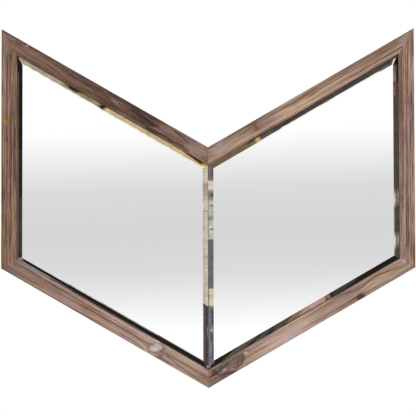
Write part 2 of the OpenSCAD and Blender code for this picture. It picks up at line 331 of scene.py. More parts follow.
world = bpy.data.worlds.new("studio")
bpy.context.scene.world = world
world.use_nodes = True
sky = world.node_tree
sky.nodes.clear()
towards = add(sky, "TexCoord").outputs["Generated"]
direction = add(sky, "SeparateXYZ", {0: towards}).outputs
ahead = reckon(sky, "MULTIPLY", direction[1], -1.0)
azimuth = reckon(sky, "MULTIPLY", reckon(sky, "ARCTAN2", direction[0], ahead), DEGREES)
elevation = reckon(sky, "MULTIPLY", reckon(sky, "ARCSINE", direction[2]), DEGREES)
level = reckon(sky, "SUBTRACT", elevation, reckon(sky, "MULTIPLY_ADD", azimuth, HORIZON_TILT, CAMERA_RISE))
level_share = stretch(sky, level, -HORIZON_SPAN, HORIZON_SPAN, kind="LINEAR")
below = [(HORIZON_MIDDLE - off, grey) for off, grey in HORIZON_GREYS]
above = [(HORIZON_MIDDLE + off, grey) for off, grey in reversed(HORIZON_GREYS)]
horizon_stops = [
    ((place + HORIZON_SPAN) / (2 * HORIZON_SPAN), screen(grey, grey, grey))
    for place, grey in below + [(HORIZON_MIDDLE, HORIZON_DARKEST)] + above
]
horizon = ramp(sky, level_share, horizon_stops)
wall_end, wall_edge = (math.cos(math.radians(angle)) for angle in reversed(WALL_ANGLES))
wall_share = stretch(sky, ahead, wall_end, wall_edge)
height_share = stretch(sky, elevation, -ROOM_SPAN, ROOM_SPAN, kind="LINEAR")
far_room = ramp(sky, height_share, [(place, screen(*colour)) for place, colour in ROOM_COLOURS])
studio = mix(sky, wall_share, far_room, WHITE)
studio = mix(sky, 1.0, studio, horizon, mode="MULTIPLY")
print("horizon stops:", len(horizon_stops))

# %% Cards and flags in the bevels
# Under each edge, a card has the run along it where it shows, in mm, and its colour. Then come the
# shares of the bevel's width between which it shows, from the rim to the flat, and its lean: how
# far along, in mm, its side by the flat stands past its side by the rim. A last number makes its
# edges that many times as soft. A row may stop early: such a card is as wide as the bevel, and
# stands upright with plain edges.
CARDS = {
    "left_stile": [
        (50, 590, (34, 27, 26)),
        (102, 300, (82, 76, 71), 0, 0.36),
        (290, 566, (100, 88, 80), 0, 0.36),
        (290, 420, (46, 35, 33), 0.4),
        (410, 562, (72, 59, 55), 0.4),
        (560, 600, (138, 124, 117)),
    ],
    "right_stile": [
        (0, 545, (74, 68, 62)),
        (452, 545, (33, 29, 27), 0, 0.34),
        (20, 200, (112, 106, 101), 0.68),
        (44, 92, (152, 140, 128), 0, 0.55, 0, 2),
        (38, 92, (218, 212, 204), 0.42, 1, 0, 3),
        (146, 200, (128, 115, 102), 0, 0.55, 0, 2),
        (140, 196, (204, 192, 182), 0.4, 1, 0, 3),
        (420, 454, (140, 86, 66), 0.4),
        (453, 490, (122, 116, 95), 0.4),
        (484, 500, (110, 106, 94), 0.5),
        (495, 545, (22, 18, 17)),
        (492, 520, (120, 110, 100), 0.66),
    ],
    "top_left_rail": [
        (-60, 290, (197, 175, 134)),
        (276, 540, (171, 157, 136)),
        (276, 312, (146, 132, 108)),
        (-70, 20, (210, 158, 74), 0, 1, -127),
        (-70, -4, (62, 40, 34), 0, 1, -127),
        (-30, -4, (226, 196, 84), 0.2, 0.8),
        (248, 270, (206, 170, 100), 0.2, 1, 8),
        (264, 290, (48, 40, 40), 0, 1, 8),
        (284, 342, (144, 130, 106)),
        (326, 390, (142, 118, 72), 0, 0.5),
        (340, 376, (40, 31, 27), 0, 0.5, -6),
        (342, 366, (110, 100, 92), 0.5, 0.8),
        (336, 380, (52, 39, 31), 0, 0.22),
        (-60, 520, (240, 238, 230), 0.72),
        (272, 500, (252, 250, 242), 0.68),
        (512, 560, (48, 36, 30), 0, 1, -24, 0.5),
    ],
    "top_right_rail": [
        (50, 640, (69, 65, 63)),
        (92, 134, (93, 97, 87), 0.45),
        (330, 426, (70, 60, 57)),
        (424, 466, (88, 80, 68), 0.2),
        (490, 640, (112, 93, 70)),
        (472, 498, (140, 116, 80), 0.3),
        (460, 482, (196, 166, 116), 0.1),
        (122, 414, (240, 237, 229), 0.74),
        (405, 470, (226, 221, 212), 0.82),
        (266, 284, (180, 172, 108), 0.66),
        (50, 90, (22, 19, 20), 0, 1, 12),
        (76, 88, (232, 226, 208), 0.1, 1, 14),
        (560, 640, (150, 140, 128), 0, 0.14),
        (606, 640, (44, 38, 32), 0.3),
    ],
    "bottom_left_rail": [
        (0, 600, (34, 28, 27)),
        (0, 39, (136, 118, 113)),
        (30, 150, (150, 145, 150), 0, 0.3),
        (110, 185, (88, 84, 104), 0, 0.3),
        (180, 600, (62, 52, 48), 0, 0.3),
        (26, 170, (222, 220, 219), 0.68),
        (160, 260, (210, 208, 207), 0.72),
        (250, 420, (180, 178, 176), 0.74),
        (410, 560, (96, 92, 90), 0.74),
    ],
    "bottom_right_rail": [
        (0, 600, (34, 29, 26)),
        (0, 600, (45, 35, 30), 0, 0.3),
        (33, 46, (122, 86, 40), 0.4, 1, 6),
        (74, 158, (88, 82, 60), 0, 1, 56, 2),
        (150, 215, (80, 73, 68), 0, 1, 44, 3),
        (196, 268, (78, 68, 60), 0, 1, 0, 2),
        (246, 330, (132, 106, 86), 0, 1, 34, 2),
        (276, 330, (174, 140, 122), 0, 1, 30, 3),
        (304, 366, (182, 146, 132), 0, 1, 6, 1.5),
        (360, 374, (136, 106, 98), 0, 1, 0, 0.5),
        (370, 424, (64, 54, 48), 0, 1, 0, 1.5),
        (396, 456, (74, 60, 54), 0.3, 1, 0, 2),
        # This card runs along the rim beside the wood. It is painted shade: the dark shadow in the gap at
        # the wood's inner edge.
        (230, 600, (54, 46, 41), 0, 0.2),
    ],
    "left_middle": [
        (-250, 140, (198, 188, 169)),
        (-250, 140, (184, 176, 161), 0.62),
        (-250, 140, (182, 173, 158), 0, 0.14),
        (22, 64, (168, 151, 132)),
        (-14, -3, (174, 160, 143)),
        (-8, 12, (236, 224, 198), 0.7),
        (-132, -112, (174, 165, 151)),
        (-400, -237, (75, 66, 66), 0, 1, 8, 0.4),
        (-400, -237, (130, 117, 107), 0.74),
        (-320, -288, (122, 120, 127), 0, 0.34),
        (-400, -384, (150, 148, 152)),
    ],
    "right_middle": [
        (60, 140, (118, 103, 104)),
        (100, 140, (98, 90, 120), 0, 0.34),
        (70, 104, (96, 81, 76), 0.6),
        (10, 48, (138, 131, 128)),
        (24, 38, (98, 86, 84), 0.4, 1, 0, 0.5),
        (42, 68, (204, 200, 192), 0, 1, 0, 0.5),
        (-82, 20, (182, 178, 170), 0, 1, 0, 0.5),
        (-36, -14, (146, 141, 132)),
        (-72, -38, (202, 199, 192), 0.15, 0.8),
        (-82, 40, (140, 134, 128), 0, 0.14),
        (2, 8, (104, 98, 92), 0.25),
        (-56, -50, (84, 78, 74), 0.25),
        (-250, -190, (202, 195, 168), 0, 1, 0, 0.4),
        (-250, -190, (134, 116, 102), 0, 0.2),
        (-224, -210, (150, 108, 70), 0.12, 0.45),
        (-201, -76, (104, 106, 109), 0, 1, 0, 0.4),
        (-136, -113, (90, 90, 114), 0.3),
        (-400, -240, (108, 108, 116), 0, 1, 0, 0.4),
        (-400, -240, (126, 122, 126), 0, 0.25),
        (-294, -246, (56, 60, 104), 0.6),
        (-306, -296, (196, 192, 168), 0.3, 0.9),
        (-334, -304, (74, 70, 78), 0.4, 0.9),
        (-376, -330, (66, 70, 96), 0.7),
        (-364, -328, (140, 136, 144), 0.25, 0.66),
        (-400, -384, (146, 146, 156)),
    ],
}
CARD_REACH = 1.5
SOFT_END = 10 * MM
SOFT_SIDE = 0.15


def shown_at(edge):
    """For each direction of the room, the place and the share of a bevel where it shows."""
    start, along, across = bevel_frame(edge)
    eye = camera.location
    ray = reckon_vector(sky, "REFLECT", towards, bevel_lean(edge))
    depth = add(sky, "SeparateXYZ", {0: ray}).outputs[1]
    reach = reckon(sky, "DIVIDE", GLASS_FRONT - eye.y, depth)
    found = []
    for way in (along, across / BEVEL_W):
        step = reckon_vector(sky, "DOT_PRODUCT", ray, way)
        found.append(reckon(sky, "MULTIPLY_ADD", step, reach, (eye - start).dot(way)))
    return found


def card_mask(shown, start, end, near=0, far=1, lean=0, soft=1):
    """Where a card stands in the room, as a mask. One that reaches a side goes on past it."""
    near = -CARD_REACH if near == 0 else near
    far = 1 + CARD_REACH if far == 1 else far
    inputs = {
        "Place": shown[0],
        "Share": shown[1],
        "Start": start * MM,
        "End": end * MM,
        "Near": near,
        "Far": far,
        "Lean": lean * MM,
        "Soft Ends": min(soft * SOFT_END, (end - start) / 2 * MM),
        "Soft Sides": min(soft * SOFT_SIDE, (far - near) / 2),
    }
    return add(sky, "Group", inputs, node_tree=card_group).outputs[0]


bare = studio
covered = 0.0
for edge, cards in CARDS.items():
    shown = shown_at(edge)
    for start, end, colour, *rest in cards:
        studio = mix(sky, card_mask(shown, start, end, *rest), studio, screen(*colour))
    all_cards = card_mask(shown, min(card[0] for card in cards), max(card[1] for card in cards))
    covered = reckon(sky, "MAXIMUM", all_cards, covered)
print("cards:", sum(len(cards) for cards in CARDS.values()))

# %% Clutter on the cards
# No card is quite even, so coarse and fine noise make the bevels lighter and darker. The open
# room is left plain, or the flat panes would look blotchy from other places.
COARSE_CLUTTER = 0.22
FINE_CLUTTER = 0.14
skyward = add(sky, "CombineXYZ", {0: azimuth, 1: elevation}).outputs[0]
flattened = reckon_vector(sky, "MULTIPLY", skyward, (0.2, 1, 1))
coarse = noise_at(sky, skyward, 3.2, detail=4.0, roughness=0.7)
coarse = stretch(sky, coarse, 0.3, 0.7, -COARSE_CLUTTER, COARSE_CLUTTER, kind="LINEAR")
fine = stretch(sky, noise_at(sky, flattened, 16.0), 0.3, 0.7, -FINE_CLUTTER, FINE_CLUTTER, kind="LINEAR")
clutter = reckon(sky, "MULTIPLY_ADD", reckon(sky, "ADD", coarse, fine), covered, 1.0)
studio = mix(sky, stretch(sky, ahead, 0.5, 0.7), bare, scale_vector(sky, studio, clutter))

# %% What each kind of ray meets
# The mirror takes a little of the light away, and the room it shows is that much brighter.
AMBIENT = 0.52
brightened = mix(sky, 1.0, studio, (1 / MIRROR_SHINE,) * 3 + (1,), mode="MULTIPLY")
rays = add(sky, "LightPath").outputs
mirrored = reckon(sky, "MAXIMUM", rays["Is Glossy Ray"], rays["Is Transmission Ray"])
room = mix(sky, mirrored, (AMBIENT, AMBIENT, AMBIENT, 1), brightened)
room = mix(sky, rays["Is Camera Ray"], room, WHITE)
background = add(sky, "Background", {"Color": room, "Strength": 1.0})
world_end = sky.nodes.new("ShaderNodeOutputWorld")
sky.links.new(background.outputs[0], world_end.inputs["Surface"])

# %% [markdown]
# ## Lamps and floor
# Two large soft lamps stand in front, the brighter one high on the right, because the edges of
# the wood that face up and right are the bright ones in the photo. A third lights the back. The
# floor is a pale round sheet that fades out at its rim, and the mirrors don't show it.


# %% Lamps
def lamp(name, place, power, size):
    """A square soft lamp that looks at the middle of the mirror and isn't seen in it."""
    data = bpy.data.lights.new(name, "AREA")
    data.energy = power
    data.size = size
    made = bpy.data.objects.new(name, data)
    made.location = place
    made.rotation_euler = (-Vector(place)).to_track_quat("-Z", "Y").to_euler()
    made.visible_glossy = False
    bpy.context.scene.collection.objects.link(made)


lamp("key", (2.4, -3.0, 2.6), 78, 1.6)
lamp("fill", (-2.8, -3.2, 0.8), 30, 2.2)
lamp("back", (-1.6, 3.4, 2.2), 70, 2.0)

# %% Floor
FLOOR_Z = -0.95
FLOOR_RADIUS = 2.1
bm = bmesh.new()
bmesh.ops.create_circle(bm, cap_ends=True, segments=96, radius=FLOOR_RADIUS)
bmesh.ops.translate(bm, verts=bm.verts, vec=(0, 0, FLOOR_Z))
floor_mesh = bpy.data.meshes.new("floor")
bm.to_mesh(floor_mesh)
bm.free()
floor = bpy.data.objects.new("floor", floor_mesh)
floor.visible_glossy = False
bpy.context.scene.collection.objects.link(floor)

floor_paper, tree, shader = new_material("floor_paper")
from_middle = reckon_vector(tree, "LENGTH", add(tree, "TexCoord").outputs["Object"])
fade = stretch(tree, from_middle, FLOOR_RADIUS, 0.6 * FLOOR_RADIUS)
fill(tree, shader, {"Base Color": screen(240, 240, 239), "Roughness": 0.9, "Alpha": fade})
floor_mesh.materials.append(floor_paper)

# %% [markdown]
# ## Mirror glass
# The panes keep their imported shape: flat facets are exactly what ground glass has. One material
# serves the whole pane, and the way a face looks tells what it is. The front is the mirror, the
# rim is green-edged glass, and the back is the grey paint over the silver.

# %% Mirror material
MIRROR_ROUGH = 0.004
PAINT_ROUGH = 0.45
mirror, tree, shader = new_material("mirror_glass")
coordinates = add(tree, "TexCoord").outputs
facing = add(tree, "SeparateXYZ", {0: coordinates["Normal"]}).outputs[1]
is_front = reckon(tree, "LESS_THAN", facing, -0.5)
is_back = reckon(tree, "GREATER_THAN", facing, 0.5)
haze = noise_at(tree, coordinates["Object"], 6.0, detail=3.0)
paint_specks = noise_at(tree, coordinates["Object"], 900.0)
paint = ramp(tree, paint_specks, [(0.3, screen(92, 95, 98)), (0.7, screen(122, 125, 128))])
rim = mix(tree, is_back, screen(96, 128, 116), paint)
clear = (MIRROR_SHINE, MIRROR_SHINE, MIRROR_SHINE, 1)
hazy = (MIRROR_SHINE * 0.995, MIRROR_SHINE, MIRROR_SHINE * 0.998, 1)
front = ramp(tree, haze, [(0.2, clear), (0.8, hazy)])
bent = reckon_vector(tree, "MULTIPLY", coordinates["Normal"], (-1, 1, -1))
leaning = mix(tree, is_front, coordinates["Normal"], bent)
spaces = dict(vector_type="NORMAL", convert_from="OBJECT", convert_to="WORLD")
fill(tree, shader, {
    "Base Color": mix(tree, is_front, rim, front),
    "Metallic": is_front,
    "Roughness": stretch(tree, is_front, 0.0, 1.0, PAINT_ROUGH, MIRROR_ROUGH, kind="LINEAR"),
    "Normal": add(tree, "VectorTransform", {0: leaning}, **spaces).outputs[0],
})


def dress(material, *names):
    """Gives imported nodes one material."""
    for name in names:
        mesh = nodes[name].data
        mesh.materials.clear()
        mesh.materials.append(material)


dress(mirror, "left_mirror_pane", "right_mirror_pane")

# %% [markdown]
# ## Weathered wood: the shared effects
# Old boards show growth rings as long lines that run with the grain, thin dark threads, short
# streaks, fine fibres and cloudy patches, and knots that the lines bend round. Each effect is
# made once as a node group. It reads a board's own coordinates: x along the board, y across its
# face from the outer edge, z up through its depth. Noise stretched far more along the board than
# across it gives wood.

# %% Grain
GRAIN_VALUES = ("Ring Width", "Wander", "Seed")
GRAIN_MARKS = ("Lines", "Threads", "Rings", "Streaks", "Fibres", "Clouds", "Tints", "Across")
grain_group, grain_in, grain_end = new_group("grain", ("Vector",), GRAIN_VALUES, GRAIN_MARKS)
seeded = add(grain_group, "CombineXYZ", {2: grain_in["Seed"]}).outputs[0]
place = reckon_vector(grain_group, "ADD", grain_in["Vector"], seeded)
along, across, depth = add(grain_group, "SeparateXYZ", {0: place}).outputs


def drawn_out(per_metre_along, per_metre_across, detail, roughness=0.6):
    """Noise that runs with the grain, with so many features in a metre each way."""
    scales = {0: (along, per_metre_along), 1: (across, per_metre_across), 2: (depth, per_metre_across)}
    inputs = {key: reckon(grain_group, "MULTIPLY", value, scale) for key, (value, scale) in scales.items()}
    vector = add(grain_group, "CombineXYZ", inputs).outputs[0]
    return noise_at(grain_group, vector, 1.0, detail, roughness)


sway = reckon(grain_group, "SUBTRACT", drawn_out(5, 18, 2), 0.5)
across = reckon(grain_group, "MULTIPLY_ADD", sway, grain_in["Wander"], across)
ring_count = reckon(grain_group, "DIVIDE", across, grain_in["Ring Width"])
ring_count = reckon(grain_group, "MULTIPLY_ADD", drawn_out(2.4, 60, 2), 2.4, ring_count)
ring_share = reckon(grain_group, "FRACT", ring_count)
late_wood = stretch(grain_group, ring_share, 0.15, 0.9, 1.0, 0.0)
early_wood = stretch(grain_group, ring_share, 0.9, 1.0)
fill(grain_group, grain_end, {
    "Lines": stretch(grain_group, drawn_out(3.0, 150, 3), 0.28, 0.72, kind="LINEAR"),
    "Threads": stretch(grain_group, drawn_out(3.5, 420, 2), 0.5, 0.36),
    "Rings": reckon(grain_group, "ADD", late_wood, early_wood),
    "Streaks": drawn_out(15, 250, 3),
    "Fibres": drawn_out(45, 700, 3),
    "Clouds": drawn_out(12, 55, 3),
    "Tints": drawn_out(8, 36, 2),
    "Across": across,
})
print("grain marks:", ", ".join(GRAIN_MARKS))

# %% Spots and knots
# The place of a spot is its middle, and its size is half its length and half its width. Its turn
# leans it off the grain. A ragged edge comes from outside, and fades over a share of the size.
# The rim is darkest on the side by the board's outer edge. Lines spread apart round the middle.
SPOT_REACH = 1.2
RIM_REACH = 0.34
SPOT_VECTORS = ("Vector", "Place", "Turn", "Size")
SPOT_VALUES = ("Ragged", "Fade", "Spread")
SPOT_MARKS = ("Mask", "Rim", "Rings")
spot_group, spot_in, spot_end = new_group("spot", SPOT_VECTORS, SPOT_VALUES, SPOT_MARKS, ("Vector",))
inputs = {"Vector": spot_in["Vector"], "Location": spot_in["Place"], "Rotation": spot_in["Turn"]}
inputs["Scale"] = spot_in["Size"]
local = add(spot_group, "Mapping", inputs, vector_type="TEXTURE").outputs[0]
local = reckon_vector(spot_group, "MULTIPLY", local, (1, 1, 0))
far = reckon(spot_group, "ADD", reckon_vector(spot_group, "LENGTH", local), spot_in["Ragged"])
solid_reach = reckon(spot_group, "SUBTRACT", SPOT_REACH, spot_in["Fade"])
rim_off = reckon(spot_group, "ABSOLUTE", reckon(spot_group, "SUBTRACT", far, 1.0))
sideways = add(spot_group, "SeparateXYZ", {0: local}).outputs[1]
outer_side = stretch(spot_group, sideways, 0.6, -0.6, 0.25, 1.0)
turns = reckon(spot_group, "SINE", reckon(spot_group, "MULTIPLY", far, 21.0))
pull = reckon(spot_group, "MULTIPLY", stretch(spot_group, far, 2.8, 0.3), spot_in["Spread"])
to_middle = reckon_vector(spot_group, "SUBTRACT", spot_in["Place"], spot_in["Vector"])
shift = scale_vector(spot_group, reckon_vector(spot_group, "MULTIPLY", to_middle, (0, 1, 0)), pull)
fill(spot_group, spot_end, {
    "Mask": stretch(spot_group, far, SPOT_REACH, solid_reach),
    "Rim": reckon(spot_group, "MULTIPLY", stretch(spot_group, rim_off, RIM_REACH, 0.0), outer_side),
    "Rings": reckon(spot_group, "MULTIPLY_ADD", turns, 0.5, 0.5),
    "Vector": reckon_vector(spot_group, "ADD", spot_in["Vector"], shift),
})
print("spot marks:", ", ".join(SPOT_MARKS))

# %% [markdown]
# ## Weathered wood: six boards
# The boards differ the way reclaimed boards do: each has its own tone, its own bands across the
# face and its own marks. The bands are places across the face from 0 to 1, with how much lighter
# or darker the wood is there, and the run says the same along the board. A stain is a ragged
# patch, a knot is one that the grain bends round, and a streak is a dark line of the grain.

# %% The boards
# A knot or stain: middle along and across in mm, half length, half width, lean and colour. A
# knot also has the share of its size over which its edge fades.
# A streak: its places along and across in mm, half its width, and its colour.
BOARDS = {
    "left_stile": dict(
        tone=(125, 99, 83), seed=1.7, wander=2.5, ring=5.2, long=0.9, fine=2.1, cloudy=0.8,
        bands=[
            (0.05, -0.1), (0.23, 0.35), (0.37, -0.6), (0.48, 0.45), (0.63, -0.75), (0.76, 0.3),
            (0.83, -0.2), (0.9, 0.25), (0.97, -0.2),
        ],
        run=[(0.0, 0.0), (0.12, -0.3), (0.2, 0.1), (0.5, 0.0), (1.0, 0.05)],
        knots=[],
        stains=[
            (42, 16, 25, 13, 0, (125, 108, 96)), (222, 6, 12, 4.5, 20, (156, 110, 52)),
            (232, 12, 8, 3, 40, (182, 130, 60)), (228, 13, 10, 2, -50, (170, 120, 54)),
            (570, 12, 12, 8, 0, (134, 102, 76)),
        ],
        streaks=[
            ([(60, 31), (250, 30), (450, 31)], 1.1, (80, 58, 49)),
            ([(80, 13), (300, 14), (520, 13)], 1.0, (86, 64, 53)),
        ],
    ),
    "bottom_left_rail": dict(
        tone=(154, 129, 116), seed=8.2, wander=4.0, ring=6.4, long=0.75, fine=0.95, cloudy=0.9,
        bands=[
            (0.03, -0.3), (0.1, -0.25), (0.23, 0.05), (0.37, 0.3), (0.5, -0.15), (0.57, -0.55),
            (0.63, -0.3), (0.77, 0.25), (0.9, 0.35), (0.98, -0.3),
        ],
        run=[
            (0.04, -0.5), (0.12, -0.3), (0.3, -0.2), (0.5, 0.0), (0.62, 0.35), (0.79, 0.25), (0.87, 0.35),
            (0.97, -0.1),
        ],
        knots=[(427, 20, 18, 10, 40, (206, 194, 186), 0.25)],
        stains=[
            (4, 16, 6, 7, 0, (158, 108, 62)), (18, 20, 7, 11, 0, (144, 120, 108)),
            (72, 6, 34, 3, 0, (152, 116, 88)), (408, 19, 7, 5, 0, (132, 112, 102)),
            (446, 11, 9, 5, 35, (112, 92, 84)), (422, 36, 8, 2, 0, (204, 190, 178)),
            (436, 35, 5, 2, 0, (90, 70, 62)), (575, 29, 7, 7, 0, (182, 124, 62)),
            (582, 36, 6, 4, 0, (88, 70, 70)),
        ],
        streaks=[
            ([(447, 21), (466, 16), (490, 12), (520, 9.5), (560, 8)], 2.2, (116, 91, 80)),
            ([(446, 23), (500, 22.5), (560, 21), (580, 21)], 1.6, (118, 93, 81)),
            ([(200, 24), (293, 21), (375, 20), (415, 17)], 1.5, (122, 98, 86)),
            ([(447, 36), (505, 36), (562, 36)], 1.3, (208, 192, 178)),
        ],
    ),
    "bottom_right_rail": dict(
        tone=(160, 137, 123), seed=15.1, wander=6.0, ring=7.5, long=0.3, fine=0.8, cloudy=0.95,
        bands=[
            (0.03, -0.2), (0.1, 0.0), (0.3, 0.14), (0.5, 0.14), (0.65, 0.0), (0.77, -0.25), (0.87, 0.0),
            (1.0, -0.35),
        ],
        run=[
            (0.04, -0.6), (0.12, -0.5), (0.2, 0.0), (0.3, 0.5), (0.45, 0.6), (0.55, 0.25), (0.63, 0.1),
            (0.71, -0.3), (0.8, 0.1), (0.95, 0.0),
        ],
        knots=[(96, 19, 19, 9, 38, (128, 101, 90), 0.75), (434, 5, 11, 7, 0, (92, 64, 56), 0.5)],
        stains=[
            (57, 22, 27, 10, 0, (112, 94, 90)), (70, 4, 12, 4, 0, (104, 78, 70)),
            (33, 25, 9, 7, 0, (66, 50, 56)), (66, 27, 14, 3.5, 20, (82, 64, 62)),
            (52, 9, 19, 4.5, 0, (92, 66, 58)), (99, 19, 10, 9.5, 30, (88, 62, 54)),
            (56, 19.5, 6, 3.5, 20, (172, 150, 140)), (18, 25, 8, 3.4, 60, (188, 130, 66)),
            (123, 28, 4.5, 3, 0, (226, 168, 98)), (244, 6, 14, 7, 0, (162, 154, 150)),
            (520, 32.5, 50, 3.5, 0, (164, 124, 98)), (572, 30, 9, 6.5, 0, (188, 176, 168)),
        ],
        streaks=[
            ([(20, 24.6), (39, 15.5), (57, 8), (81, 1.5)], 2.4, (72, 50, 46)),
            ([(74, 14), (90, 11.5), (103, 13), (112, 20), (118, 28)], 2.4, (76, 53, 48)),
            ([(60, 31.5), (84, 30), (103, 31.5), (118, 29)], 1.6, (92, 68, 62)),
            ([(398, 34), (418, 28), (430, 25), (452, 25), (472, 29.5), (492, 31.5), (516, 27), (541, 24),
              (566, 23)], 1.8, (92, 62, 50)),
            ([(8, 22), (26, 21.5), (44, 24), (62, 28)], 3.6, (60, 44, 48)),
            ([(4, 37), (30, 36.5), (60, 36.5)], 1.2, (176, 164, 156)),
        ],
    ),
    "right_stile": dict(
        tone=(143, 116, 104), seed=22.6, wander=2.5, ring=5.0, long=0.8, fine=1.5, cloudy=1.1,
        bands=[
            (0.03, -0.1), (0.1, -0.12), (0.3, 0.34), (0.37, 0.38), (0.5, -0.28), (0.56, -0.1),
            (0.66, 0.32), (0.83, -0.42), (0.9, -0.18), (0.97, -0.3),
        ],
        run=[(0.0, 0.0), (0.5, 0.0), (0.85, -0.1), (1.0, 0.0)],
        knots=[],
        stains=[
            (14, 9, 6, 3.5, 0, (174, 136, 86)), (16, 31, 4, 7, 0, (190, 172, 164)),
            (40, 25, 22, 8, 0, (137, 113, 106)), (54, 22, 5, 3, 0, (84, 62, 54)),
            (566, 11, 15, 5, 0, (128, 110, 107)),
        ],
        streaks=[
            ([(30, 20), (260, 19), (520, 20)], 1.0, (98, 74, 66)),
            ([(120, 31), (300, 30), (540, 32)], 1.1, (92, 68, 62)),
        ],
    ),
    "top_right_rail": dict(
        tone=(158, 131, 115), seed=29.3, wander=3.0, ring=6.0, long=0.6, fine=1.15, cloudy=0.6,
        bands=[
            (0.03, -0.15), (0.1, -0.2), (0.2, -0.32), (0.28, -0.27), (0.37, 0.05), (0.45, 0.12),
            (0.6, 0.04), (0.77, 0.24), (0.87, 0.15), (0.98, -0.4),
        ],
        run=[
            (0.05, -0.1), (0.12, -0.2), (0.3, 0.0), (0.63, 0.3), (0.71, 0.0), (0.79, -0.3), (0.87, 0.15),
            (0.96, 0.0),
        ],
        knots=[],
        stains=[
            (32, 19, 16, 7, 0, (138, 124, 118)), (460, 19, 8, 9, 0, (108, 82, 69)),
            (458, 9, 8, 5, 0, (104, 80, 67)), (465, 31, 9, 5, 0, (184, 138, 98)),
            (560, 20, 32, 16, 0, (160, 140, 128)),
        ],
        streaks=[
            ([(50, 14), (260, 14), (450, 10)], 1.2, (98, 74, 64)),
            ([(30, 7), (240, 8), (420, 5)], 1.0, (106, 82, 70)),
        ],
    ),
    "top_left_rail": dict(
        tone=(107, 84, 73), seed=36.9, wander=14.0, ring=7.0, long=1.2, fine=1.5, cloudy=2.4,
        bands=[
            (0.03, -0.1), (0.2, 0.05), (0.3, -0.15), (0.5, 0.05), (0.65, 0.2), (0.83, -0.3), (0.93, 0.1),
            (1.0, 0.5),
        ],
        run=[
            (0.04, 0.8), (0.12, 0.4), (0.2, 0.0), (0.29, -0.5), (0.38, -0.35), (0.5, -0.2), (0.7, 0.0),
            (0.87, 0.25), (0.95, 0.4),
        ],
        knots=[],
        stains=[
            (22, 20, 30, 17, 0, (152, 131, 118)), (85, 33, 14, 3.5, 0, (66, 48, 42)),
            (140, 34, 19, 3, 0, (60, 44, 40)), (160, 23, 24, 5, 4, (66, 50, 49)),
            (146, 22, 10, 3, 20, (44, 32, 36)), (380, 25, 150, 8, 0, (120, 91, 79)),
            (125, 24, 16, 4, 0, (128, 108, 98)), (252, 18, 18, 5, -14, (122, 102, 98)),
            (300, 28, 20, 6, 0, (112, 78, 66)), (480, 19, 75, 13, 0, (129, 100, 80)),
            (532, 10, 16, 4, 0, (94, 68, 52)), (510, 4.5, 6, 2, 40, (190, 168, 136)),
        ],
        streaks=[
            ([(41, 16), (59, 12), (81, 8), (96, 6.4)], 2.2, (64, 46, 40)),
            ([(122, 16), (140, 16), (165, 15.5), (190, 14.5), (214, 12.5)], 3.2, (40, 27, 30)),
            ([(196, 15), (222, 10.5), (245, 7), (290, 4)], 1.8, (66, 48, 45)),
            ([(82, 28), (105, 29), (146, 30)], 1.8, (58, 41, 38)),
            ([(226, 28), (240, 21), (258, 14), (276, 11)], 1.0, (140, 118, 112)),
            ([(256, 28), (268, 20), (288, 13)], 1.1, (74, 53, 49)),
            ([(286, 32), (300, 23), (322, 16), (340, 14)], 1.1, (78, 56, 51)),
            ([(304, 32), (316, 25), (334, 20)], 0.9, (136, 112, 102)),
            ([(318, 37), (360, 37.5), (410, 37)], 1.2, (56, 42, 37)),
            ([(385, 9), (430, 10), (480, 8)], 1.4, (66, 48, 40)),
            ([(168, 30), (250, 24), (350, 27)], 1.5, (66, 48, 44)),
            ([(250, 31), (300, 27), (360, 30), (420, 28)], 1.2, (74, 54, 46)),
            ([(400, 24), (450, 20), (500, 22), (545, 18)], 1.3, (84, 62, 50)),
        ],
    ),
}

# %% Wood material
# Each mark of the grain makes the wood lighter or darker by its weight. Its mean is taken off
# again, so that the board keeps its tone, and each board has its own share of the three kinds.
BAND_CONTRAST = 0.34
RUN_CONTRAST = 0.48
GRAIN_WEIGHTS = {
    "Lines": (0.6, 0.5, "long"),
    "Threads": (-0.35, 0.25, "fine"),
    "Rings": (0.16, 0.5, "long"),
    "Streaks": (1.0, 0.5, "fine"),
    "Fibres": (0.7, 0.5, "fine"),
    "Clouds": (0.75, 0.5, "cloudy"),
}
STAIN_FADE = 0.75
STAIN_RAGGED = 1.6
KNOT_RAGGED = 1.3
KNOT_SPREAD = 0.75
FRESH_DEPTH = 1.2 * MM
ROSY = (1.025, 0.945, 0.985, 1)
TAWNY = (1.045, 0.99, 0.885, 1)
DARK_SHARES = (0.62, 0.59, 0.58)
PALE_SHARES = (1.28, 1.34, 1.38)


def shade_stops(pairs, contrast):
    """Turns lighter and darker, from -1 to 1, into the grey values of a ramp."""
    return [(place, 0.5 + contrast * shade) for place, shade in pairs]


def scaled(colour, *gains):
    """A screen colour made lighter or darker, by one gain or by one for each channel."""
    gains = gains * 3 if len(gains) == 1 else gains
    return screen(*(min(255, channel * gain) for channel, gain in zip(colour, gains)))


def streak_mask(tree, place, points, half_wide, ragged):
    """A mask of a line of the grain that passes through points along and across a board, in mm."""
    start, end = points[0][0], points[-1][0]
    share = stretch(tree, place[0], start * MM, end * MM, kind="LINEAR")
    stops = [((at - start) / (end - start), over * MM / FACE_W) for at, over in points]
    course = reckon(tree, "MULTIPLY", ramp(tree, share, stops, kind="CARDINAL"), FACE_W)
    off = reckon(tree, "ABSOLUTE", reckon(tree, "SUBTRACT", place[1], course))
    off = reckon(tree, "MULTIPLY_ADD", ragged, half_wide * MM, off)
    to_end = reckon(tree, "ABSOLUTE", reckon(tree, "SUBTRACT", share, 0.5))
    line = stretch(tree, off, 1.6 * half_wide * MM, 0.0)
    return reckon(tree, "MULTIPLY", line, stretch(tree, to_end, 0.5, 0.36))


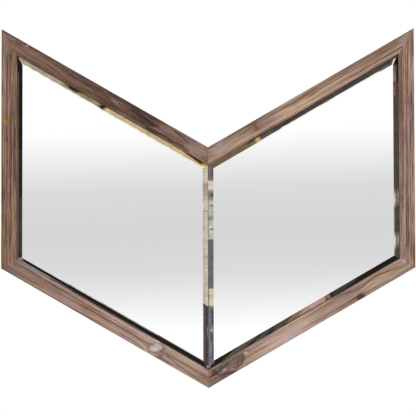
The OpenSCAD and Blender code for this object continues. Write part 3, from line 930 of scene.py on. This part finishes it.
def spot(tree, vector, mark, ragged, fade, spread):
    """A stain or knot, from its row in the list of the board."""
    along, over, half_long, half_wide, lean = mark[:5]
    inputs = {
        "Vector": vector,
        "Place": (along * MM, over * MM, 0),
        "Turn": (0, 0, math.radians(lean)),
        "Size": (half_long * MM, half_wide * MM, 1),
        "Ragged": ragged,
        "Fade": fade,
        "Spread": spread,
    }
    return add(tree, "Group", inputs, node_tree=spot_group).outputs


def wood_tone(tree, name, grain, place):
    """A board's own colour: bands, run and grain, rosy in some patches and tawny in others."""
    board = BOARDS[name]
    face_share = reckon(tree, "DIVIDE", grain["Across"], FACE_W)
    length_share = reckon(tree, "DIVIDE", place[0], board_length(name))
    bands = ramp(tree, face_share, shade_stops(board["bands"], BAND_CONTRAST), kind="CARDINAL")
    run = ramp(tree, length_share, shade_stops(board["run"], RUN_CONTRAST), kind="CARDINAL")
    value = reckon(tree, "ADD", bands, run)
    even = 0.5
    for mark, (weight, mean, kind) in GRAIN_WEIGHTS.items():
        weight *= board[kind]
        value = reckon(tree, "MULTIPLY_ADD", grain[mark], weight, value)
        even += weight * mean
    value = reckon(tree, "SUBTRACT", value, even, clamp=True)
    tone = board["tone"]
    tones = [(0.0, scaled(tone, *DARK_SHARES)), (0.5, screen(*tone)), (1.0, scaled(tone, *PALE_SHARES))]
    hue = stretch(tree, grain["Tints"], 0.32, 0.68)
    return mix(tree, 1.0, ramp(tree, value, tones), mix(tree, hue, ROSY, TAWNY), mode="MULTIPLY")


def wood_material(name):
    """The finish of one board: its tone, its stains, streaks and knots, and its bare wood and wear."""
    board = BOARDS[name]
    tone = board["tone"]
    material, tree, shader = new_material(name + "_wood")
    turn = board_matrix(name)
    object_place = add(tree, "TexCoord").outputs["Object"]
    inputs = {"Vector": object_place, "Location": turn.translation, "Rotation": turn.to_euler()}
    raw = add(tree, "Mapping", inputs, vector_type="TEXTURE").outputs[0]
    raw_place = add(tree, "SeparateXYZ", {0: raw}).outputs
    ragged = reckon(tree, "SUBTRACT", noise_at(tree, raw, 170.0, detail=3.0, roughness=0.65), 0.5)
    knot_edge, stain_edge = (reckon(tree, "MULTIPLY", ragged, by) for by in (KNOT_RAGGED, STAIN_RAGGED))

    vector = raw
    knots = []
    for mark in board["knots"]:
        knot = spot(tree, vector, mark, knot_edge, mark[6], KNOT_SPREAD)
        knots.append((knot, mark[5]))
        vector = knot["Vector"]
    growth = {"Ring Width": board["ring"] * MM, "Wander": board["wander"] * MM, "Seed": board["seed"]}
    grain = add(tree, "Group", {"Vector": vector, **growth}, node_tree=grain_group).outputs
    colour = wood_tone(tree, name, grain, raw_place)

    patchy = stretch(tree, grain["Streaks"], 0.3, 0.65, 0.5, 0.95)
    for mark in board["stains"]:
        mask = spot(tree, raw, mark, stain_edge, STAIN_FADE, 0.0)["Mask"]
        stain = mix(tree, grain["Streaks"], scaled(mark[5], 0.7), scaled(mark[5], 1.3))
        colour = lay_over(tree, colour, mask, patchy, stain)
    for points, half_wide, shade in board["streaks"]:
        mask = streak_mask(tree, raw_place, points, half_wide, ragged)
        colour = lay_over(tree, colour, mask, patchy, screen(*shade))
    mottle = stretch(tree, ragged, -0.14, 0.14)
    for knot, shade in knots:
        rings = mix(tree, knot["Rings"], scaled(shade, 0.88), scaled(shade, 1.06))
        mottled = mix(tree, mottle, scaled(shade, 0.7), scaled(shade, 1.14))
        colour = mix(tree, knot["Mask"], colour, mix(tree, 0.6, rings, mottled))
        rim_strength = stretch(tree, grain["Clouds"], 0.6, 0.35, 0.25, 0.95)
        colour = lay_over(tree, colour, knot["Rim"], rim_strength, scaled(tone, 0.55))

    fresh = mix(tree, grain["Lines"], screen(150, 124, 98), screen(196, 168, 136))
    fresh_mask = stretch(tree, raw_place[2], FRESH_DEPTH, 0.0, 0.0, 0.7)
    colour = mix(tree, fresh_mask, colour, fresh)
    hollow = add(tree, "Attribute", attribute_name="hollow").outputs["Fac"]
    fibres = reckon(tree, "MULTIPLY", grain["Fibres"], 0.6)
    height = reckon(tree, "MULTIPLY_ADD", grain["Lines"], 0.4, fibres)
    fill(tree, shader, {
        "Base Color": lay_over(tree, colour, hollow, 0.5, scaled(tone, 0.42)),
        "Roughness": stretch(tree, grain["Fibres"], 0.2, 0.8, 0.86, 0.68, kind="LINEAR"),
        "Specular IOR Level": 0.3,
        "Normal": bumps(tree, height, 0.4, 0.4 * MM),
    })
    return material


# %% [markdown]
# ## The boards' shape
# A board is its moulding section, drawn out along the outer edge in short steps and cut off at
# the two mitres. Before the cuts its skin is worn in: long shallow hollows between the lines,
# nicks along the arrises, and drying cracks. Wear only takes wood away. What it takes is also
# kept as a number on each point, which the material darkens.

# %% Moulding section
EDGE_R = 1.6 * MM
BOARD_D = -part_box("backing_board")[0].y
STEP_W = 12 * MM
BACK_SET_IN = 0.05 * MM
MITRE_EASE = 0.8 * MM
MITRE_DIP = 0.25 * MM
STEP_LONG = 3 * MM
FACE_CUTS = 46
SIDE_CUTS = 12


def section_loop(bm, start):
    """The closed outline of the moulding at x = start, with its front edges rounded."""
    inner = FACE_W - STEP_W
    fronts = [(0, FRAME_D), (FACE_W, FRAME_D)]
    corners = [(0, BACK_SET_IN), *fronts, (FACE_W, BOARD_D), (inner, BOARD_D), (inner, BACK_SET_IN)]
    verts = [bm.verts.new((start, across, forward)) for across, forward in corners]
    bm.faces.new(verts)
    rounding = dict(affect="VERTICES", segments=4, profile=0.5, material=-1)
    bmesh.ops.bevel(bm, geom=verts[1:3], offset=EDGE_R, **rounding)
    for edge in list(bm.edges):
        span = edge.verts[0].co - edge.verts[1].co
        if abs(span.y) > 0.7 * FACE_W:
            bmesh.ops.subdivide_edges(bm, edges=[edge], cuts=FACE_CUTS)
        elif abs(span.z) > 0.5 * FRAME_D:
            bmesh.ops.subdivide_edges(bm, edges=[edge], cuts=SIDE_CUTS)
    bmesh.ops.delete(bm, geom=list(bm.faces), context="FACES_ONLY")
    return list(bm.edges)


# %% Wear
CRACK_HALF_W = 0.55 * MM
CRACK_DEPTH = 0.8 * MM
LINE_DEPTH = 0.16 * MM
FIBRE_DEPTH = 0.06 * MM
NICK_DEPTH = 0.7 * MM
NICK_REACH = 5 * MM
NICK_FADE = 1.3 * MM
KNOT_RIM_DEPTH = 0.3 * MM
KNOT_DISH = 0.12 * MM
PLAIN_WEAR = 0.3 * MM
FULL_HOLLOW = 0.9 * MM


def drying_cracks(name):
    """A few cracks with the grain on one board: middle, half length, place across and sway."""
    dice = random.Random(name)
    cracks = []
    for _ in range(dice.randint(5, 8)):
        middle = dice.uniform(0.08, 0.92) * board_length(name)
        half_long = dice.uniform(12, 45) * MM
        over = dice.uniform(0.12, 0.9) * FACE_W
        cracks.append((middle, half_long, over, dice.uniform(-2, 2)))
    return cracks


def knot_axes(name):
    """Each knot's middle, and the matrix that turns a step from it into shares of its half sizes."""
    axes = []
    for along, over, half_long, half_wide, lean, *_ in BOARDS[name]["knots"]:
        turned = Matrix.Rotation(math.radians(-lean), 2)
        rows = Matrix((turned[0] / (half_long * MM), turned[1] / (half_wide * MM)))
        axes.append((Vector((along, over)) * MM, rows))
    return axes


def worn_depth(seed, cracks, knots, point):
    """How deep the weather has worn a board at one of its points."""
    along, over, forward = point
    front_share = min(1.0, max(0.0, (forward - BOARD_D) / (FRAME_D - BOARD_D)))
    lines = noise.noise((along * 6, over * 210, forward * 160 + seed))
    fine = noise.noise((along * 26, over * 520, forward * 300 + seed + 7))
    worn = LINE_DEPTH * (1 + lines) * front_share + FIBRE_DEPTH * (1 + fine)
    to_edge = min(over, FACE_W - over) + (FRAME_D - forward)
    if to_edge < NICK_REACH:
        nicks = noise.noise((along * 42, seed * 3, over * 60))
        worn += NICK_DEPTH * max(0.0, nicks - 0.12) * math.exp(-to_edge / NICK_FADE)
    if forward < FRAME_D - EDGE_R:
        return worn
    for middle, half_long, place_across, sway in cracks:
        share = 1 - abs(along - middle) / half_long
        if share > 0:
            off = abs(over - place_across - sway * MM * noise.noise((along * 9, middle * 50, seed)))
            worn += CRACK_DEPTH * min(1.0, 3 * share) * max(0.0, 1 - off / CRACK_HALF_W)
    for middle, rows in knots:
        far = (rows @ (Vector((along, over)) - middle)).length
        if far < 1.6:
            worn += KNOT_RIM_DEPTH * math.exp(-((far - 1) / 0.12) ** 2) + KNOT_DISH * math.exp(-far ** 4)
    return worn


# %% Cutting a mitre
def mitre_plane(name, corner):
    """A point and the outward normal of the mitre at a corner, in the board's own coordinates."""
    here = OUTLINE[corner]
    to_next = (OUTLINE[(corner + 1) % 6] - here).normalized()
    to_last = (here - OUTLINE[corner - 1]).normalized()
    inwards = Vector((-to_next.z, 0, to_next.x)) + Vector((-to_last.z, 0, to_last.x))
    normal = inwards.cross(Vector((0, 1, 0))).normalized()
    to_board = board_matrix(name).inverted()
    middle = Vector((board_length(name) / 2, FACE_W / 2, FRAME_D / 2))
    place, normal = to_board @ here, to_board.to_3x3() @ normal
    return place, normal if (middle - place).dot(normal) < 0 else -normal


def points_of(geom):
    """The points among parts of a mesh."""
    return [part for part in geom if isinstance(part, bmesh.types.BMVert)]


def cut(bm, place, normal, clear):
    """Cuts right through the mesh, and takes away what is beyond the cut if clear is true."""
    plane = dict(plane_co=place, plane_no=normal, dist=1e-7, clear_outer=clear)
    geom = list(bm.verts) + list(bm.edges) + list(bm.faces)
    return points_of(bmesh.ops.bisect_plane(bm, geom=geom, **plane)["geom_cut"])


def cut_mitre(bm, name, corner):
    """Cuts one mitre, eases its edge a little, and closes the end."""
    place, normal = mitre_plane(name, corner)
    cut(bm, place - normal * MITRE_EASE, normal, clear=False)
    rim = cut(bm, place, normal, clear=True)
    bm.normal_update()
    dips = [(vert, vert.normal.copy()) for vert in rim]
    for vert, outwards in dips:
        vert.co -= outwards * MITRE_DIP
        vert.co.x -= (vert.co - place).dot(normal) / normal.x
    bmesh.ops.holes_fill(bm, edges=[edge for edge in bm.edges if edge.is_boundary], sides=0)


# %% From mesh to piece
SHARP = math.radians(38)


def show(bm, name, body, material, replaced):
    """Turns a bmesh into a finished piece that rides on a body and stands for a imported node."""
    bmesh.ops.recalc_face_normals(bm, faces=bm.faces)
    for face in bm.faces:
        face.smooth = True
    for edge in bm.edges:
        edge.smooth = edge.calc_face_angle(0) < SHARP
    mesh = bpy.data.meshes.new(name)
    bm.to_mesh(mesh)
    bm.free()
    mesh.materials.append(material)
    piece = bpy.data.objects.new(name, mesh)
    bpy.context.scene.collection.objects.link(piece)
    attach(piece, body)
    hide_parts(replaced)
    print(name, "faces:", len(mesh.polygons))


# %% One board
def draw_on(bm, edges):
    """Extrudes edges, and gives the new edges and points."""
    grown = bmesh.ops.extrude_edge_only(bm, edges=edges)["geom"]
    return [part for part in grown if isinstance(part, bmesh.types.BMEdge)], points_of(grown)


def make_board(name):
    """Draws out, wears and mitres one board. It is drawn out past both ends, to be cut."""
    bm = bmesh.new()
    past_end = 2 * FACE_W
    loop = section_loop(bm, -past_end)
    for _ in range(math.ceil((board_length(name) + 2 * past_end) / STEP_LONG)):
        loop, moved = draw_on(bm, loop)
        bmesh.ops.translate(bm, verts=moved, vec=(STEP_LONG, 0, 0))
    bmesh.ops.recalc_face_normals(bm, faces=bm.faces)
    bm.normal_update()
    hollow = bm.verts.layers.float.new("hollow")
    seed, cracks, knots = BOARDS[name]["seed"], drying_cracks(name), knot_axes(name)
    wear = [(vert, vert.normal.copy(), worn_depth(seed, cracks, knots, vert.co)) for vert in bm.verts]
    for vert, outwards, depth in wear:
        if vert.co.z > 2 * BACK_SET_IN:
            vert.co -= outwards * depth
            vert[hollow] = min(1.0, max(0.0, depth - PLAIN_WEAR) / FULL_HOLLOW)
    cut_mitre(bm, name, SIDES[name])
    cut_mitre(bm, name, (SIDES[name] + 1) % 6)
    bmesh.ops.transform(bm, matrix=board_matrix(name), verts=bm.verts)
    show(bm, "weathered_" + name, "mirror", wood_material(name), name)


for board_name in BOARDS:
    make_board(board_name)

# %% [markdown]
# ## Wear that several materials share
# Everything behind the frame has been handled: metal has fine scratches and thumb smudges, and
# dust lies on all of it. One node group makes these marks from Object coordinates, so a piece
# keeps its marks when it swings. Each material mixes them in by its own amounts.

# %% Handling marks
HANDLING_MARKS = ("Scratches", "Smudges", "Dust", "Specks")
marks_group, marks_in, marks_end = new_group("handling_marks", ("Vector",), (), HANDLING_MARKS)
brushed = reckon_vector(marks_group, "MULTIPLY", marks_in["Vector"], (1, 1, 0.06))
scratch_noise = noise_at(marks_group, brushed, 900.0, detail=4.0, roughness=0.7)
dust_noise = noise_at(marks_group, marks_in["Vector"], 420.0, detail=5.0, roughness=0.75)
speck_noise = noise_at(marks_group, marks_in["Vector"], 1500.0)
smudge_noise = noise_at(marks_group, marks_in["Vector"], 160.0, detail=3.0)
fill(marks_group, marks_end, {
    "Scratches": stretch(marks_group, scratch_noise, 0.35, 0.65),
    "Smudges": stretch(marks_group, smudge_noise, 0.35, 0.65),
    "Dust": stretch(marks_group, dust_noise, 0.54, 0.7),
    "Specks": stretch(marks_group, speck_noise, 0.62, 0.72),
})


def marked_material(name):
    """A new material, its tree and shader, the handling marks and Object coordinates."""
    material, tree, shader = new_material(name)
    where = add(tree, "TexCoord").outputs["Object"]
    marks = add(tree, "Group", {"Vector": where}, node_tree=marks_group).outputs
    return material, tree, shader, marks, where


# %% [markdown]
# ## Metals
# The hangers are bright nickel, the board screws are yellow zinc, and the corner wedges are bare
# spring steel with a little rust. All are metals, so the colour is that of the reflection, and
# what tells them apart is how sharp it is and how it varies.

# %% Metal materials
# Each has its clean and its smudged colour, the colour of its specks, and its roughness from
# clean to smudged.
METALS = {
    "bright_nickel": ((218, 216, 210), (196, 192, 184), (120, 112, 100), 0.2, 0.36),
    "yellow_zinc": ((214, 192, 132), (186, 178, 160), (128, 104, 66), 0.28, 0.45),
    "spring_steel": ((150, 152, 156), (112, 114, 122), (112, 70, 44), 0.3, 0.5),
}
METAL_DUST = 0.25


def metal_material(name):
    """A worn metal from the list above."""
    clean, smudged, specks, low, high = METALS[name]
    material, tree, shader, marks, _ = marked_material(name)
    colour = mix(tree, marks["Smudges"], screen(*clean), screen(*smudged))
    colour = lay_over(tree, colour, marks["Specks"], 0.7, screen(*specks))
    rough = reckon(tree, "MULTIPLY_ADD", marks["Smudges"], high - low, low)
    fill(tree, shader, {
        "Metallic": 1.0,
        "Base Color": lay_over(tree, colour, marks["Dust"], METAL_DUST, screen(150, 144, 136)),
        "Roughness": reckon(tree, "MULTIPLY_ADD", marks["Dust"], METAL_DUST, rough),
        "Normal": bumps(tree, marks["Scratches"], 0.12, 0.05 * MM),
    })
    return material


nickel, zinc, spring_steel = (metal_material(name) for name in METALS)
dress(nickel, "left_hanger_strap", "right_hanger_strap", "left_hanger_ring", "right_hanger_ring")
dress(spring_steel, "corner_wedges")

# %% [markdown]
# ## Board, tape and bumpers
# The backing board is raw fibreboard: no grain, but short pale and dark fibres pressed flat in
# every direction, and a surface that takes the light softly. The tape is closed-cell foam, and
# the bumpers are soft dark rubber that gathers dust.

# %% Fibreboard
fibreboard, tree, shader, marks, where = marked_material("fibreboard")
fibres = noise_at(tree, where, 520.0, detail=5.0, roughness=0.8)
felted = noise_at(tree, reckon_vector(tree, "MULTIPLY", where, (1, 1, 2.6)), 240.0, 4.0, 0.7)
mottle = noise_at(tree, where, 9.0, detail=3.0)
fibre_colours = [(0.3, screen(138, 108, 76)), (0.5, screen(166, 136, 100)), (0.7, screen(190, 162, 126))]
colour = ramp(tree, fibres, fibre_colours)
colour = mix(tree, stretch(tree, felted, 0.55, 0.7), colour, screen(124, 96, 68))
colour = mix(tree, stretch(tree, mottle, 0.35, 0.65, 0.0, 0.3), colour, screen(150, 118, 84))
fill(tree, shader, {
    "Base Color": lay_over(tree, colour, marks["Dust"], 0.3, screen(206, 196, 182)),
    "Roughness": stretch(tree, mottle, 0.3, 0.7, 0.7, 0.86),
    "Specular IOR Level": 0.25,
    "Normal": bumps(tree, fibres, 0.35, 0.15 * MM),
})
dress(fibreboard, "backing_board")

# %% Foam tape
foam, tree, shader, marks, where = marked_material("foam_tape")
cells = add(tree, "TexVoronoi", {"Vector": where, "Scale": 1600.0}).outputs["Distance"]
colour = ramp(tree, cells, [(0.1, screen(244, 243, 238)), (0.7, screen(222, 221, 212))])
fill(tree, shader, {
    "Base Color": lay_over(tree, colour, marks["Smudges"], 0.2, screen(206, 202, 190)),
    "Roughness": 0.85,
    "Normal": bumps(tree, cells, 0.5, 0.1 * MM),
})
dress(foam, "left_tape_strips", "right_tape_strips")

# %% Rubber
rubber, tree, shader, marks, _ = marked_material("bumper_rubber")
colour = mix(tree, marks["Smudges"], screen(38, 38, 39), screen(50, 49, 48))
fill(tree, shader, {
    "Base Color": lay_over(tree, colour, marks["Dust"], 0.45, screen(120, 114, 106)),
    "Roughness": reckon(tree, "MULTIPLY_ADD", marks["Dust"], 0.3, 0.55),
    "Normal": bumps(tree, marks["Specks"], 0.25, 0.1 * MM),
})
dress(rubber, "wall_bumpers")

# %% [markdown]
# ## Screws with a driven cross
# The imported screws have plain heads, and each real one has a cross recess. A screw is round, so
# its skin could be spun, but a spin can't make the cross. Here a flat ring of faces is filled in
# between a circle and the outline of the cross. The cross is then pushed down into the head, and
# the circle is drawn down the screw, one ring for each step of its profile.

# %% One screw
CROSS_R = 2.1 * MM
CROSS_WING = 0.5 * MM
CROSS_DEPTH = 1.7 * MM
CROSS_TAPER = 0.45
SCREW_SIDES = 40


def cross_outline():
    """The twelve corners of the cross, anticlockwise."""
    corners = []
    for quarter in range(4):
        turn = Matrix.Rotation(math.radians(90 * quarter), 2)
        for x, y in ((CROSS_R, -CROSS_WING), (CROSS_R, CROSS_WING), (CROSS_WING, CROSS_WING)):
            corners.append(turn @ Vector((x, y)))
    return corners


def add_screw(bm, land_r, profile, place, axis, twist):
    """Adds a screw with its head's flat at place. Its profile is radii and depths along the axis."""
    before = set(bm.verts)
    circle = bmesh.ops.create_circle(bm, cap_ends=False, segments=SCREW_SIDES, radius=land_r)["verts"]
    rim = list({edge for vert in circle for edge in vert.link_edges})
    cross = [bm.verts.new((corner.x, corner.y, 0)) for corner in cross_outline()]
    cross_edges = [bm.edges.new((cross[i - 1], cross[i])) for i in range(len(cross))]
    bmesh.ops.triangle_fill(bm, use_beauty=True, edges=rim + cross_edges, normal=(0, 0, 1))
    floor_face = bm.faces.get(cross) or bm.faces.new(cross)
    sunk = points_of(bmesh.ops.extrude_face_region(bm, geom=[floor_face])["geom"])
    if floor_face.is_valid:
        bmesh.ops.delete(bm, geom=[floor_face], context="FACES_ONLY")
    bmesh.ops.scale(bm, verts=sunk, vec=(CROSS_TAPER, CROSS_TAPER, 1))
    bmesh.ops.translate(bm, verts=sunk, vec=(0, 0, -CROSS_DEPTH))
    radius, depth = land_r, 0.0
    for next_radius, next_depth in profile:
        rim, ring = draw_on(bm, rim)
        grow = next_radius / radius
        bmesh.ops.scale(bm, verts=ring, vec=(grow, grow, 1))
        bmesh.ops.translate(bm, verts=ring, vec=(0, 0, depth - next_depth))
        radius, depth = next_radius, next_depth
    bmesh.ops.contextual_create(bm, geom=rim)
    made = [vert for vert in bm.verts if vert not in before]
    turn = Vector(axis).to_track_quat("-Z", "Y").to_matrix().to_4x4() @ Matrix.Rotation(twist, 4, "Z")
    bmesh.ops.transform(bm, matrix=Matrix.Translation(place) @ turn, verts=made)


# %% Board screws
BOARD_SCREW_R = 3.5 / 2 * MM
BOARD_HEAD_R = 3.5 * MM
BOARD_SCREW_LONG = -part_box("backing_screws")[0].y
SCREWS_PER_BOARD = 3
HEAD_EDGE = 0.25 * MM
HEAD_SINK = 0.03 * MM
POINT_SHARE = 0.15
screw_inset = FACE_W - STEP_W / 2
screw_dice = random.Random(5)
head_deep = BOARD_HEAD_R - BOARD_SCREW_R
board_profile = [
    (BOARD_HEAD_R - HEAD_EDGE, 0.02 * MM),
    (BOARD_HEAD_R - HEAD_EDGE / 3, 0.12 * MM),
    (BOARD_SCREW_R, head_deep),
    (BOARD_SCREW_R, BOARD_SCREW_LONG - 2 * BOARD_SCREW_R),
    (BOARD_SCREW_R * POINT_SHARE, BOARD_SCREW_LONG - 0.05 * MM),
]
bm = bmesh.new()
for name, corner in SIDES.items():
    mitres = [mitre_plane(name, end) for end in (corner, (corner + 1) % 6)]
    starts, ends = (place.x - normal.y / normal.x * screw_inset for place, normal in mitres)
    for count in range(SCREWS_PER_BOARD):
        along = starts + (ends - starts) * (count + 0.5) / SCREWS_PER_BOARD
        place = board_matrix(name) @ Vector((along, screw_inset, HEAD_SINK))
        twist = screw_dice.uniform(0, math.pi / 2)
        add_screw(bm, BOARD_HEAD_R - 2 * HEAD_EDGE, board_profile, place, (0, -1, 0), twist)
show(bm, "board_screw_set", "mirror", zinc, "backing_screws")

# %% Hanger screws
PAN_R = 4.0 * MM
PAN_HIGH = 2.4 * MM
PAN_RIM = 0.8 * MM
PAN_LAND_R = 2.5 * MM
PAN_SHANK_R = 4.2 / 2 * MM
PAN_LONG = 16 * MM
PAN_STEPS = 6
PAN_EDGE = 0.15 * MM
pan_profile = []
for step in range(1, PAN_STEPS + 1):
    turn = math.pi / 2 * step / PAN_STEPS
    radius = PAN_LAND_R + (PAN_R - PAN_LAND_R) * math.sin(turn)
    pan_profile.append((radius, (PAN_HIGH - PAN_RIM) * (1 - math.cos(turn))))
pan_profile += [
    (PAN_R, PAN_HIGH - PAN_EDGE),
    (PAN_R - PAN_EDGE, PAN_HIGH),
    (PAN_SHANK_R, PAN_HIGH),
    (PAN_SHANK_R, PAN_HIGH + PAN_LONG - 2 * PAN_SHANK_R),
    (PAN_SHANK_R * POINT_SHARE, PAN_HIGH + PAN_LONG),
]
for side, twists in (("left", (0.3, 1.1)), ("right", (0.9, 0.15))):
    low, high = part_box(side + "_hanger_screws")
    bm = bmesh.new()
    for twist, height in zip(twists, (high.z - PAN_R, low.z + PAN_R)):
        place = Vector(((low.x + high.x) / 2, high.y, height))
        add_screw(bm, PAN_LAND_R, pan_profile, place, (0, -1, 0), twist)
    show(bm, side + "_hanger_screw_pair", "mirror", nickel, side + "_hanger_screws")
